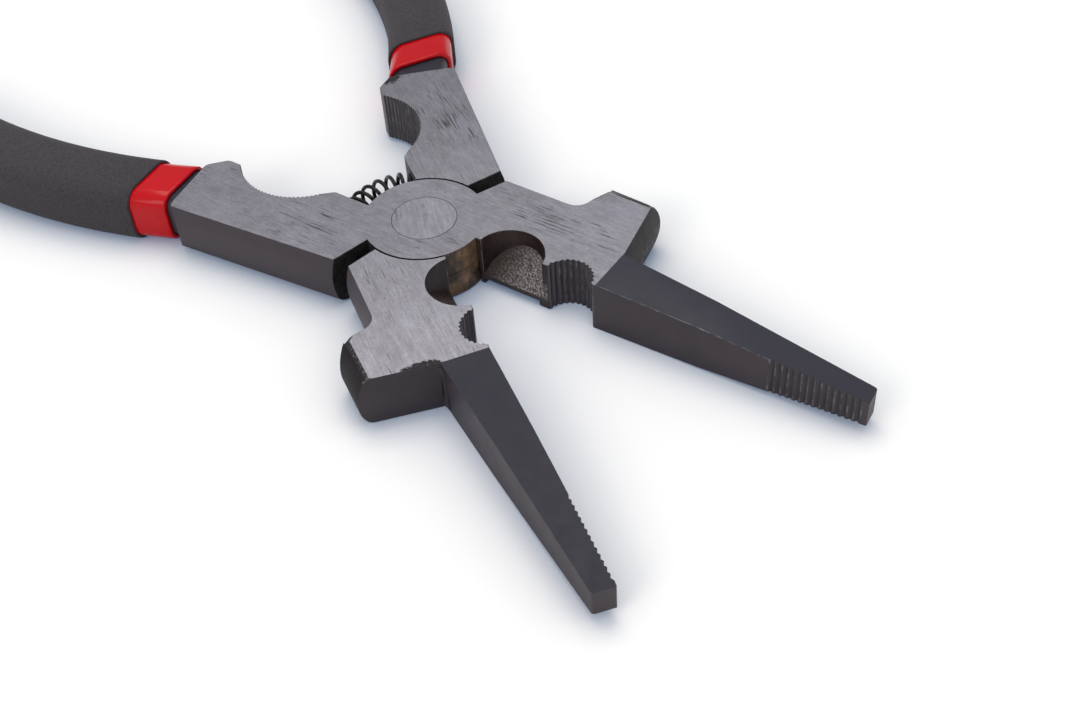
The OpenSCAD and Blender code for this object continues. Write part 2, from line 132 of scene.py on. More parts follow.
class Shader:
    """A node tree of a material or a world, filled by short calls that return sockets."""

    def __init__(self, name, world=None):
        self.material = world or bpy.data.materials.new(name)
        self.material.use_nodes = True
        self.tree = self.material.node_tree
        self.tree.nodes.clear()
        self.output = self.tree.nodes.new("ShaderNodeOutputWorld" if world else
                                          "ShaderNodeOutputMaterial")

    def add(self, kind, values=(), **settings):
        return add_node(self.tree, kind, values, **settings)

    def place(self, turn=0.0, centre=(0, 0, 0), stretch=(1, 1, 1)):
        """Object coordinates about a centre, turned back by an angle, then stretched."""
        coords = self.add("ShaderNodeTexCoord").outputs["Object"]
        moved = self.add("ShaderNodeMapping", {"Vector": coords, "Location": [-c for c in centre]})
        turned = self.add("ShaderNodeMapping",
                          {"Vector": moved.outputs[0], "Rotation": (0, 0, -turn)})
        stretched = self.add("ShaderNodeMapping", {"Vector": turned.outputs[0], "Scale": stretch})
        return stretched.outputs[0]

    def own_xy(self, side):
        """Place in a lever's own frame, shut, as the upper lever."""
        split = self.add("ShaderNodeSeparateXYZ", {0: self.place(side * HALF_OPEN)})
        return self.math("MULTIPLY", split.outputs[0], float(side)), split.outputs[1]

    def noise(self, vector, scale, detail=3.0, roughness=0.55):
        made = self.add("ShaderNodeTexNoise", {"Vector": vector, "Scale": scale,
                                               "Detail": detail, "Roughness": roughness})
        return made.outputs["Fac"]

    def cells(self, vector, scale):
        made = self.add("ShaderNodeTexVoronoi", {"Vector": vector, "Scale": scale})
        return made.outputs["Distance"]

    def span(self, value, low, high, out_low=0.0, out_high=1.0):
        """0 at low and 1 at high, or from out_low to out_high, and held beyond both."""
        made = self.add("ShaderNodeMapRange", {"Value": value, "From Min": low, "From Max": high,
                                               "To Min": out_low, "To Max": out_high})
        return made.outputs["Result"]

    def math(self, operation, a, b=0.5):
        made = self.add("ShaderNodeMath", {0: a, 1: b}, operation=operation)
        return made.outputs[0]

    def mix(self, share, a, b, blend="MIX"):
        a, b = (value if isinstance(value, bpy.types.NodeSocket) else (*value, 1)
                for value in (a, b))
        made = self.add("ShaderNodeMix", {0: share, MIX_A: a, MIX_B: b},
                        data_type="RGBA", blend_type=blend)
        return made.outputs[MIX_OUT]

    def shaded(self, colour, share, low, high):
        """A colour made darker or lighter, from low to high times, by a share."""
        return self.mix(1.0, colour, self.mix(share, (low,) * 3, (high,) * 3), "MULTIPLY")

    def spot(self, x, y, ellipse, ragged=0.0, inner=0.85, outer=1.15):
        """1 inside an ellipse (x, y, half width, half length), 0 outside, with an uneven edge."""
        mid_x, mid_y, half_width, half_length = ellipse
        across = self.math("DIVIDE", self.math("SUBTRACT", x, mid_x), half_width)
        along = self.math("DIVIDE", self.math("SUBTRACT", y, mid_y), half_length)
        far = self.math("ADD", self.math("MULTIPLY", across, across),
                        self.math("MULTIPLY", along, along))
        return self.span(self.math("ADD", far, ragged), outer, inner)

    def any_spot(self, x, y, ellipses, ragged=0.0, inner=0.85, outer=1.15):
        """1 inside any of the ellipses."""
        found = 0.0
        for ellipse in ellipses:
            found = self.math("MAXIMUM", found, self.spot(x, y, ellipse, ragged, inner, outer))
        return found

    def sees_background(self):
        """1 for rays that meet the white surroundings: straight, mirrored or through glass."""
        path = self.add("ShaderNodeLightPath").outputs
        seen = self.math("MAXIMUM", path["Is Camera Ray"], path["Is Glossy Ray"])
        return self.math("MAXIMUM", seen, path["Is Transmission Ray"])

    def bump(self, height, distance, strength=1.0, under=None):
        values = {"Height": height, "Distance": distance, "Strength": strength}
        if under is not None:
            values["Normal"] = under
        return self.add("ShaderNodeBump", values).outputs[0]

    def surface(self, **sockets):
        """The finished material, with the sockets named by their labels."""
        names = {key: key.replace("_", " ") for key in sockets}
        shader = self.add("ShaderNodeBsdfPrincipled", {names[k]: v for k, v in sockets.items()})
        self.tree.links.new(shader.outputs[0], self.output.inputs[0])
        return self.material


# ---------------------------------------------------------------- finishes

# Black forging skin
SKIN = (0.026, 0.023, 0.024)

# Ellipses in a lever's own frame, in metres: x, y, half width, half length.
# Where the grinding has left dark streaks
STREAKED = {"upper": [(-0.0110, 0.0190, 0.0042, 0.0170), (0.0120, -0.0160, 0.0060, 0.0080)],
            "lower": [(0.0140, -0.0270, 0.0055, 0.0150), (-0.0100, 0.0110, 0.0040, 0.0040)]}
# Places that grinding has missed, where the black forging skin is left
MISSED = {"upper": [(-0.0230, 0.0302, 0.0002, 0.0038)],
          "lower": [(-0.0240, 0.0302, 0.0016, 0.0082), (-0.0226, 0.0338, 0.0013, 0.0018),
                    (-0.0219, 0.0353, 0.0015, 0.0009), (-0.0130, 0.0359, 0.0036, 0.0012),
                    (-0.0102, 0.0364, 0.0012, 0.0012), (0.0078, -0.0455, 0.0022, 0.0020)]}

# Grey of the ground faces at the rear and at the front of each lever; the change between them is
# painted light and shade
LEVER_TONES_AND_PAINTED_LIGHT = {"upper": ((0.252, 0.243, 0.266), (0.282, 0.272, 0.296)),
               "lower": ((0.222, 0.213, 0.234), (0.335, 0.324, 0.344))}
RIVET_TONE = (0.30, 0.288, 0.320)
# Painted reflection: the bluish colour of the nose tops, where the oxide faces up
PAINTED_NOSE_TOP_REFLECTIONS = {"upper": (0.019, 0.0178, 0.029), "lower": (0.0130, 0.0122, 0.0215)}
# Each lobe: colour of its flanks and of its top, roughness, share and height of its scuffs
LOBE_TONES = {"upper": ((0.014, 0.010, 0.011), (0.014, 0.010, 0.011), 0.58, 0.5, 0.0068),
              "lower": ((0.036, 0.028, 0.032), (0.036, 0.028, 0.032), 0.5, 0.5, 0.0016)}
# The rounded edge at the outer end of each lobe
LOBE_RIM_W = {"upper": 0.0007, "lower": 0.0008}
LOBE_RIM_TONES = {"upper": (0.17, 0.16, 0.165), "lower": (0.10, 0.095, 0.10)}
LOBE_RIM_MISSED = {"upper": [(-0.0230, 0.0302, 0.0002, 0.0038)],
                   "lower": [(-0.0242, 0.0300, 0.0030, 0.0090)]}
LOBE_END_TONE = (0.012, 0.009, 0.010)


def ground_steel(name, side, seed, rear_tone, front_tone, streaked=(), missed=(), lean=0.0):
    """Ground forging face: fine lines along the lever, short dark streaks in loose groups,
    and ragged places where the forging skin is left. The seed moves the patterns."""
    s = Shader(name)
    turn = side * HALF_OPEN + lean
    x, y = s.own_xy(side)
    along = s.place(turn, (0.013 * seed, 0.021 * seed, 0), (1, 0.045, 0.3))
    fine = s.noise(along, 5200, 4, 0.65)
    lines = s.noise(along, 2100, 3, 0.6)
    clouds = s.noise(s.place(turn, (0.031 * seed, 0, 0), (1, 0.45, 1)), 150, 3, 0.6)
    # Painted light and shade: the grey changes from the rear to the front of the lever
    base = s.mix(s.span(y, -0.045, 0.032), rear_tone, front_tone)
    grain = s.noise(s.place(turn, (0, 0, 0), (1, 0.6, 1)), 2600, 4, 0.75)
    mottle = s.noise(s.place(turn, (0.009 * seed, 0, 0), (1, 0.5, 1)), 620, 3, 0.65)
    base = s.shaded(base, s.span(fine, 0.3, 0.7), 0.86, 1.12)
    base = s.shaded(base, s.span(lines, 0.38, 0.70), 1.03, 0.90)
    base = s.shaded(base, s.span(grain, 0.3, 0.7), 0.84, 1.16)
    base = s.shaded(base, s.span(mottle, 0.3, 0.7), 0.88, 1.12)
    base = s.shaded(base, s.span(clouds, 0.3, 0.7), 0.90, 1.08)
    base = s.mix(s.span(clouds, 0.55, 0.75, 0.0, 0.35), base, (0.27, 0.265, 0.33))
    rust = s.noise(s.place(0, (0.01 * seed, 0.02, 0)), 420, 3, 0.6)
    base = s.mix(s.span(rust, 0.60, 0.78, 0.0, 0.22), base, (0.30, 0.235, 0.215))

    dash_at = s.place(turn + 0.03, (0.017 * seed, 0.005, 0), (1, 0.05, 0.3))
    dashes = s.noise(dash_at, 3300, 2, 0.5)
    groups = s.noise(s.place(turn, (0.003 * seed, 0.011, 0), (1, 0.6, 1)), 330, 2, 0.5)
    likely = s.math("MULTIPLY", s.any_spot(x, y, streaked, 0.0, 0.1, 1.3), 0.12)
    likely = s.math("ADD", likely, s.span(groups, 0.35, 0.65, -0.05, 0.05))
    streaks = s.span(s.math("ADD", dashes, likely), 0.685, 0.77)
    base = s.mix(s.math("MULTIPLY", streaks, 0.85), base, (0.045, 0.042, 0.045))
    pits = s.noise(s.place(0, (0.02 * seed, 0, 0), (1, 0.7, 1)), 1500, 2, 0.4)
    pits = s.span(pits, 0.73, 0.79)
    base = s.mix(s.math("MULTIPLY", pits, 0.6), base, (0.07, 0.065, 0.07))

    uneven = s.noise(s.place(), 1500, 4, 0.7)
    ragged = s.span(uneven, 0.25, 0.75, -0.75, 0.75)
    skin = s.any_spot(x, y, missed, ragged)
    chips = s.span(s.noise(s.place(), 2700, 3, 0.7), 0.62, 0.68)
    skin_tone = s.mix(s.math("MULTIPLY", chips, 0.75), SKIN, (0.36, 0.35, 0.36))
    base = s.mix(skin, base, skin_tone)
    metal = s.span(skin, 0.0, 1.0, 0.78, 0.1)
    rough = s.span(lines, 0.3, 0.7, 0.40, 0.50)
    bumps = s.bump(fine, 0.00002, 0.5)
    bumps = s.bump(s.math("ADD", streaks, skin), 0.00004, -0.6, bumps)
    shine = s.span(skin, 0.0, 1.0, 0.5, 0.15)
    return s.surface(Base_Color=base, Metallic=metal, Roughness=rough, Specular_IOR_Level=shine,
                     Normal=bumps)


def black_oxide(name, flank=(0.046, 0.036, 0.042), top=(0.030, 0.0285, 0.040), rough=0.5,
                scuffed=0.0, scuffed_below=0.02, shine=0.35):
    """Oxide-blackened forging skin: satin, with one colour on its flanks and a painted
    reflection as its colour where it faces up, and scuffed below a height."""
    s = Shader(name)
    at = s.place()
    mottle = s.noise(at, 260, 4, 0.6)
    grain = s.noise(at, 3000, 3, 0.6)
    facing = s.add("ShaderNodeTexCoord").outputs["Normal"]
    up = s.add("ShaderNodeSeparateXYZ", {0: facing}).outputs[2]
    # Painted reflection: faces turned up take the top colour
    base = s.mix(s.span(up, 0.5, 0.9), flank, top)
    base = s.shaded(base, s.span(mottle, 0.3, 0.75), 0.9, 1.25)
    base = s.mix(s.span(grain, 0.62, 0.75, 0.0, 0.25), base, (0.085, 0.078, 0.080))
    scuffs = s.noise(s.place(0, (0.004, 0, 0), (1, 1, 0.4)), 900, 4, 0.7)
    height = s.add("ShaderNodeSeparateXYZ", {0: at}).outputs[2]
    low = s.span(s.math("ADD", height, s.math("MULTIPLY", mottle, 0.0015)), scuffed_below,
                 scuffed_below - 0.0008)
    scuffs = s.math("MULTIPLY", s.span(scuffs, 0.50, 0.66, 0.0, scuffed), low)
    base = s.mix(scuffs, base, (0.16, 0.145, 0.145))
    roughness = s.span(mottle, 0.3, 0.7, rough - 0.05, rough + 0.08)
    relief = s.math("ADD", s.math("ADD", grain, s.math("MULTIPLY", mottle, 1.5)), scuffs)
    return s.surface(Base_Color=base, Metallic=0.0, Roughness=roughness, Specular_IOR_Level=shine,
                     Normal=s.bump(relief, 0.00003, 0.35))


def worn_edge_and_highlight(name):
    """Narrow edge where handling has rubbed some of the oxide off; its lighter patches are also a
    painted edge highlight.
    """
    s = Shader(name)
    patches = s.noise(s.place(), 620, 3, 0.6)
    # Rubbed wear in patches, which also serves as a painted edge highlight
    base = s.mix(s.span(patches, 0.42, 0.66), (0.035, 0.033, 0.036), (0.15, 0.145, 0.15))
    return s.surface(Base_Color=base, Metallic=0.4, Roughness=0.42,
                     Normal=s.bump(patches, 0.00002, 0.4))


def milled_grey(s, side):
    """Pattern of a milled, grainy surface of the cutter, and how lit it is, from 0 to 1."""
    x, y = s.own_xy(side)
    across = s.math("SUBTRACT", x, CUTTER_OVER)
    ahead = s.math("SUBTRACT", y, CUTTER_Y)
    # The arcs are swept about a point in front of the closing plane
    sweep_x = s.math("SUBTRACT", across, 0.006)
    sweep_y = s.math("ADD", ahead, 0.004)
    radius = s.math("SQRT", s.math("ADD", s.math("MULTIPLY", sweep_x, sweep_x),
                                   s.math("MULTIPLY", sweep_y, sweep_y)))
    wobble = s.math("MULTIPLY", s.noise(s.place(), 420, 3, 0.6), 0.0014)
    rings = s.math("SINE", s.math("MULTIPLY", s.math("ADD", radius, wobble), 12500.0), 0.0)
    spots = s.math("ADD", s.math("MULTIPLY", rings, 0.028), s.noise(s.place(), 2600, 4, 0.9))
    # Painted light and shade: brighter towards the throat, darker and browner towards the joint
    towards = s.math("SUBTRACT", s.math("ADD", ahead, wobble), s.math("MULTIPLY", across, -0.35))
    lit = s.span(towards, -0.0050, 0.0022, 0.10, 1.0)
    return spots, lit


def cutter_floor(name, side):
    """Milled floor of the cutter: faint arcs on a grainy, oxide-tinted grey, in painted shade
    towards the joint.
    """
    s = Shader(name)
    spots, lit = milled_grey(s, side)
    base = s.mix(s.math("MULTIPLY", s.span(spots, 0.45, 0.64), lit),
                 (0.034, 0.022, 0.018), (0.46, 0.42, 0.40))
    return s.surface(Base_Color=base, Metallic=0.4, Roughness=0.5,
                     Normal=s.bump(spots, 0.00008, 0.8))


def cutter_land(name, side):
    """Closing face beside the cutter: dark, and chipped bare low down at the throat."""
    s = Shader(name)
    spots, _ = milled_grey(s, side)
    _, y = s.own_xy(side)
    height = s.add("ShaderNodeSeparateXYZ", {0: s.place()}).outputs[2]
    ragged = s.math("MULTIPLY", s.noise(s.place(), 900, 3, 0.6), 0.0016)
    low = s.span(s.math("ADD", height, ragged), 0.0068, 0.0056)
    above = s.span(height, 0.0016, 0.0024)
    bare = s.math("MULTIPLY", s.math("MULTIPLY", low, above), s.span(y, 0.0238, 0.0248))
    bright = s.math("MULTIPLY", s.span(spots, 0.45, 0.64), bare)
    dark = s.mix(s.span(y, 0.0142, 0.0130), (0.028, 0.023, 0.024), (0.050, 0.032, 0.023))
    base = s.mix(bright, dark, (0.36, 0.33, 0.31))
    return s.surface(Base_Color=base, Metallic=0.3, Roughness=0.5,
                     Normal=s.bump(spots, 0.00006, 0.7))


def tinted_wall(name, dark, light):
    """Brown-tinted oxide on the wall of the cutter and on the rim of the joint."""
    s = Shader(name)
    clouds = s.noise(s.place(0, (0.02, 0, 0), (1, 1, 0.6)), 260, 4, 0.6)
    base = s.mix(s.span(clouds, 0.42, 0.68), dark, light)
    fine = s.noise(s.place(0, (0, 0, 0), (1, 1, 0.12)), 2400, 3, 0.6)
    base = s.shaded(base, s.span(fine, 0.35, 0.7), 1.1, 0.75)
    return s.surface(Base_Color=base, Metallic=0.3, Roughness=0.45,
                     Normal=s.bump(fine, 0.00003, 0.5))


def dipped_vinyl(name):
    """Glossy red dip, with the faint flow and orange peel of a dipped skin."""
    s = Shader(name)
    flow = s.noise(s.place(0, (0, 0, 0), (1, 0.4, 1)), 90, 2, 0.5)
    peel = s.noise(s.place(), 900, 2, 0.4)
    base = s.mix(s.span(flow, 0.3, 0.7), (0.51, 0.001, 0.004), (0.59, 0.002, 0.007))
    normal = s.bump(flow, 0.0003, 0.25)
    return s.surface(Base_Color=base, Roughness=0.20,
                     Normal=s.bump(peel, 0.00001, 0.35, normal),
                     Specular_IOR_Level=0.13, Coat_Weight=0.2, Coat_Roughness=0.05)


def grip_foam(name):
    """Closed-cell foam: matt charcoal with a fine sanded skin."""
    s = Shader(name)
    at = s.place()
    pores = s.cells(at, 2600)
    grain = s.noise(at, 2200, 4, 0.75)
    clouds = s.noise(at, 140, 3, 0.6)
    base = s.mix(s.span(grain, 0.3, 0.72), (0.030, 0.026, 0.029), (0.076, 0.068, 0.074))
    base = s.mix(s.span(clouds, 0.35, 0.7, 0.0, 0.3), base, (0.060, 0.053, 0.058))
    base = s.mix(s.span(pores, 0.25, 0.05, 0.0, 0.5), base, (0.020, 0.018, 0.019))
    height = s.math("ADD", s.math("MULTIPLY", pores, 0.6), grain)
    return s.surface(Base_Color=base, Roughness=0.9, Specular_IOR_Level=0.3, Sheen_Weight=0.05,
                     Sheen_Roughness=0.5, Normal=s.bump(height, 0.00012, 0.7))


def spring_black(name):
    """Oil-blackened spring wire."""
    s = Shader(name)
    worn = s.noise(s.place(), 900, 3, 0.6)
    base = s.mix(s.span(worn, 0.55, 0.75), (0.012, 0.009, 0.009), (0.060, 0.048, 0.042))
    return s.surface(Base_Color=base, Metallic=0.5, Roughness=0.36,
                     Normal=s.bump(worn, 0.00002, 0.3))


def joint_painted_shade(name):
    """Painted shade: near-black steel put in the narrow gaps of the joint and on the rim of the
    rivet.
    """
    s = Shader(name)
    # Mottled painted shade
    shade_mottle = s.noise(s.place(), 700, 3, 0.6)
    base = s.mix(s.span(shade_mottle, 0.35, 0.75), (0.008, 0.007, 0.007), (0.034, 0.029, 0.027))
    return s.surface(Base_Color=base, Metallic=0.0, Roughness=0.7, Specular_IOR_Level=0.2,
                     Normal=s.bump(shade_mottle, 0.00002, 0.3))


# ---------------------------------------------------------------- pieces

# The finishes of a lever, in the order of its materials
(GROUND, OXIDE, EDGE, FLOOR, WALL, GAP, JOINT_RIM, LOBE_RIM, LOBE, LOBE_END, LAND,
 BITE) = range(12)


def own_frame(point, side):
    """A point or a normal in the lever's own frame, shut, as the upper lever: its jaw on the
    -x side."""
    turned = Matrix.Rotation(-side * HALF_OPEN, 4, "Z") @ Vector(point)
    return Vector((side * turned.x, turned.y, turned.z))


def rest_point(point, side):
    """A point of the lever's own frame, brought to rest."""
    turned = Matrix.Rotation(HALF_OPEN, 4, "Z") @ Vector(point)
    return Vector((side * turned.x, turned.y, turned.z))


def merged_copy(node, name, materials):
    """A copy of a node's solid as one clean mesh: doubles merged, flat faces joined up."""
    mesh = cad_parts[node].data.copy()
    mesh.name = name
    mesh.materials.clear()
    for material in materials:
        mesh.materials.append(material)
    shape = bmesh.new()
    shape.from_mesh(mesh)
    bmesh.ops.remove_doubles(shape, verts=shape.verts, dist=1e-6)
    bmesh.ops.dissolve_degenerate(shape, edges=shape.edges, dist=1e-6)
    bmesh.ops.dissolve_limit(shape, angle_limit=math.radians(0.6), verts=shape.verts,
                             edges=shape.edges, use_dissolve_boundaries=False)
    for face in shape.faces:
        face.smooth = True
        face.material_index = 0
    shape.normal_update()
    return mesh, shape


def shade_by_shape(shape, rounded):
    """Flat faces are shaded flat and curved ones smooth; rounded edges stay smooth."""
    for face in shape.faces:
        curved = any(CURVED_FROM < edge.calc_face_angle(0) < CURVED_TO for edge in face.edges
                     if len(edge.link_faces) == 2)
        face.smooth = (curved or face.material_index in rounded) and face.material_index != GROUND


def finished(mesh, shape, name, body, nodes, sharp_degrees=26):
    """Makes the piece of a shape, in place of its nodes, riding a body."""
    smooth = [face.smooth for face in shape.faces]
    shape.to_mesh(mesh)
    shape.free()
    for attribute in ("custom_normal", "sharp_edge"):
        found = mesh.attributes.get(attribute)
        if found:
            mesh.attributes.remove(found)
    mesh.set_sharp_from_angle(angle=math.radians(sharp_degrees))
    mesh.polygons.foreach_set("use_smooth", smooth)
    mesh.update()
    piece = bpy.data.objects.new(name, mesh)
    bpy.context.scene.collection.objects.link(piece)
    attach(piece, body)
    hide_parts(*nodes)


def bevelled(shape, edges, width, material, segments, clamp=True):
    """Breaks or rounds the edges. Without the clamp a short edge nearby doesn't hold it back."""
    if edges:
        bmesh.ops.bevel(shape, geom=edges, offset=width, offset_type="OFFSET", segments=segments,
                        profile=0.5, affect="EDGES", clamp_overlap=clamp, material=material,
                        loop_slide=True)
    shape.normal_update()


def in_joint_gap(centre, normal):
    """Whether a face lies in the narrow gaps that the joint opens and closes."""
    if abs(normal.z) > LEVEL:
        return abs(centre.z - MID_Z) < 2 * NEAR
    at_neck = -0.019 < centre.x < -0.008 and 0.002 < centre.y < 0.009
    at_block = 0.008 < centre.x < 0.020 and -0.0095 < centre.y < -0.003
    return at_neck and normal.y < -0.5 or at_block and normal.y > 0.5


def lever_face_finish(centre, normal):
    """Which finish a face of a lever has, from its middle and its normal in the own frame."""
    radius = math.hypot(centre.x, centre.y)
    upright = abs(normal.z) < 0.1
    at_face = centre.z > HEAD_T - NEAR or centre.z < NEAR
    if abs(normal.z) > 0.995 and at_face and centre.y < FACE_Y + 2 * NEAR:
        return GROUND
    # Faces in the narrow gaps of the joint get painted shade
    if in_joint_gap(centre, normal):
        return GAP
    # The rim of the joint gets painted shade where it is not seen from the front
    if upright and abs(radius - DISC_R) < 6 * NEAR:
        seen_from_front = centre.y > 0.004 and centre.x > -0.009
        return JOINT_RIM if seen_from_front else GAP
    to_cutter = math.hypot(centre.x - CUTTER_OVER, centre.y - CUTTER_Y)
    in_cutter = to_cutter < CUTTER_R + 3 * NEAR and centre.y > DISC_R * 0.6
    if in_cutter and radius > DISC_R - 3 * NEAR:
        if normal.z > 0.3:
            return FLOOR
        return LAND if abs(centre.x - CLOSING_X) < NEAR else WALL
    in_tip_bite = math.hypot(centre.x, centre.y - TIP_BITE_Y) < TIP_BITE_REACH
    to_nozzle = math.hypot(centre.x, centre.y - NOZZLE_BITE_Y)
    in_nozzle_bite = to_nozzle < NOZZLE_BITE_REACH and centre.x < 0.0085
    if upright and (in_tip_bite or in_nozzle_bite):
        return BITE
    if centre.x < -0.0105 and 0.022 < centre.y < FACE_Y + 0.002:
        return LOBE_END if normal.x < -0.5 else LOBE
    return OXIDE


def is_sharp(edge, degrees):
    return len(edge.link_faces) == 2 and edge.calc_face_angle(0) > math.radians(degrees)


def is_corner(edge, degrees=30):
    return is_sharp(edge, degrees) and edge.is_convex


def own_ends(edge, side):
    return [own_frame(vert.co, side) for vert in edge.verts]


def is_lobe_rim(edge, side):
    """Top and bottom edges of the lobe's outer end, which the grinding leaves rounded."""
    ends = own_ends(edge, side)
    on_face = all(p.z > HEAD_T - NEAR for p in ends) or all(p.z < NEAR for p in ends)
    at_end = all(p.x < LOBE_END_X and p.y > 0.0235 for p in ends)
    return is_corner(edge, 20) and on_face and at_end


def is_lobe_corner(edge, side):
    """Upright rear corner of the lobe."""
    ends = own_ends(edge, side)
    upright = abs(ends[0].z - ends[1].z) > 0.006
    at_rear = all(p.x < LOBE_END_X and 0.02 < p.y < 0.0262 for p in ends)
    return is_corner(edge) and upright and at_rear


def is_long_corner(edge, side):
    """A long corner away from the teeth, whose neighbours leave room for a fine bevel."""
    if not is_corner(edge) or edge.calc_length() < 0.0025:
        return False
    room = all(other.calc_length() > 0.00045
               for vert in edge.verts for other in vert.link_edges)
    ahead_of_tang = all(p.y > TANG_Y for p in own_ends(edge, side))
    return room and ahead_of_tang


def is_throat_corner(edge, side):
    """Upright corner between the cutter and the small bite."""
    ends = own_ends(edge, side)
    return is_corner(edge) and all(-0.003 < p.x and 0.0243 < p.y < 0.0272 for p in ends)


def dress_cutter_edge(shape, side):
    """Brings the cutting edge lower, over a lower flat and a longer bevel under it."""
    for vert in shape.verts:
        own = own_frame(vert.co, side)
        if abs(own.y - CUTTER_Y) > CUTTER_R or abs(own.x) > 0.0070:
            continue
        on_floor = any(face.material_index == FLOOR for face in vert.link_faces)
        at_foot = (0.0128 < own.y < CUTTER_Y - CUTTER_R + 0.0016
                   and own.z < CUTTER_LOW_Z + SAME)
        on_closing_plane = abs(own.x - CLOSING_X) < SAME
        if on_floor:
            vert.co.z -= EDGE_DROP * (own.x - EDGE_DROP_FROM_X) / EDGE_DROP_RUN
        elif on_closing_plane and abs(own.z - CUTTER_LOW_Z) < SAME:
            vert.co.z = FLAT_LOW_Z
        elif abs(own.x - CLOSING_X + CUTTER_BACK) < SAME and own.z < SAME:
            vert.co += rest_point((-BEVEL_FURTHER_BACK, 0, 0), side)
        if at_foot and not on_floor:
            vert.co += rest_point((0, -POCKET_FOOT_BACK, 0), side)


def build_lever(name):
    side = SIDES[name]
    node = name + "_lever"
    rear_tone, front_tone = LEVER_TONES_AND_PAINTED_LIGHT[name]
    seed = 1 if side > 0 else 2
    materials = [
        ground_steel(name + "_ground_face", side, seed, rear_tone, front_tone,
                     STREAKED[name], MISSED[name]),
        black_oxide(name + "_black_oxide", top=PAINTED_NOSE_TOP_REFLECTIONS[name]),
        worn_edge_and_highlight(name + "_worn_edge_and_highlight"),
        cutter_floor(name + "_cutter_floor", side),
        tinted_wall(name + "_cutter_wall", (0.018, 0.009, 0.007), (0.048, 0.026, 0.019)),
        # Painted shade for the gaps of the joint
        joint_painted_shade(name + "_joint_gap"),
        tinted_wall(name + "_joint_rim", (0.042, 0.028, 0.020), (0.33, 0.19, 0.10)),
        ground_steel(name + "_lobe_rim", side, seed, rear_tone, LOBE_RIM_TONES[name],
                     STREAKED[name], LOBE_RIM_MISSED[name]),
        black_oxide(name + "_lobe_oxide", *LOBE_TONES[name]),
        black_oxide(name + "_lobe_end", LOBE_END_TONE, LOBE_END_TONE, 0.6, 0.3, 0.004,
                    shine=0.16),
        cutter_land(name + "_cutter_land", side),
        # A lighter oxide in the bites, painted light that makes up for their shade
        black_oxide(name + "_bite_oxide", (0.066, 0.058, 0.066), (0.05, 0.045, 0.05), 0.5,
                    0.15),
    ]
    mesh, shape = merged_copy(node, name + "_lever_forging", materials)
    for face in shape.faces:
        face.material_index = lever_face_finish(own_frame(face.calc_center_median(), side),
                                                own_frame(face.normal, side))
    dress_cutter_edge(shape, side)
    for chosen, width, material, segments, clamp in (
            (is_lobe_corner, LOBE_CORNER_W, LOBE_END, 4, False),
            (is_lobe_rim, LOBE_RIM_W[name], LOBE_RIM, 4, False),
            (is_throat_corner, THROAT_CORNER_W, WALL, 3, True),
            (is_long_corner, LONG_CORNER_W, EDGE, 2, False)):
        edges = [e for e in shape.edges if chosen(e, side)]
        bevelled(shape, edges, width, material, segments, clamp)
    # The ground top is one plane again
    for face in shape.faces:
        if face.material_index == GROUND and face.normal.z > LEVEL:
            for vert in face.verts:
                vert.co.z = HEAD_T
    shade_by_shape(shape, (EDGE, LOBE_RIM))
    finished(mesh, shape, name + "_lever_forging", name, [node])


def build_sleeve(name):
    node = name + "_sleeve"
    mesh, shape = merged_copy(node, name + "_vinyl_sleeve",
                              [dipped_vinyl(name + "_dipped_vinyl")])
    bevelled(shape, [e for e in shape.edges if is_sharp(e, 35)], SLEEVE_RIM_W, 0, 3)
    finished(mesh, shape, name + "_vinyl_sleeve", name, [node], 40)


def build_grip(name):
    node = name + "_grip"
    mesh, shape = merged_copy(node, name + "_foam_grip", [grip_foam(name + "_grip_foam")])
    bevelled(shape, [e for e in shape.edges if is_sharp(e, 35)], GRIP_RIM_W, 0, 2)
    finished(mesh, shape, name + "_foam_grip", name, [node], 40)


def build_rivet():
    ground = ground_steel("rivet_ground_face", -1, 5, RIVET_TONE, RIVET_TONE, lean=-0.2)
    # The bevelled rim of the rivet gets painted shade, as in the joint's gaps
    mesh, shape = merged_copy("pivot_rivet", "flush_rivet", [ground, joint_painted_shade("rivet_gap")])
    rims = [e for e in shape.edges if is_sharp(e, 30)
            and min(v.co.xy.length for v in e.verts) > RIVET_R - 2 * NEAR]
    bevelled(shape, rims, RIVET_RIM_W, 1, 1)
    finished(mesh, shape, "flush_rivet", "upper", ["pivot_rivet"])


# ---------------------------------------------------------------- return spring

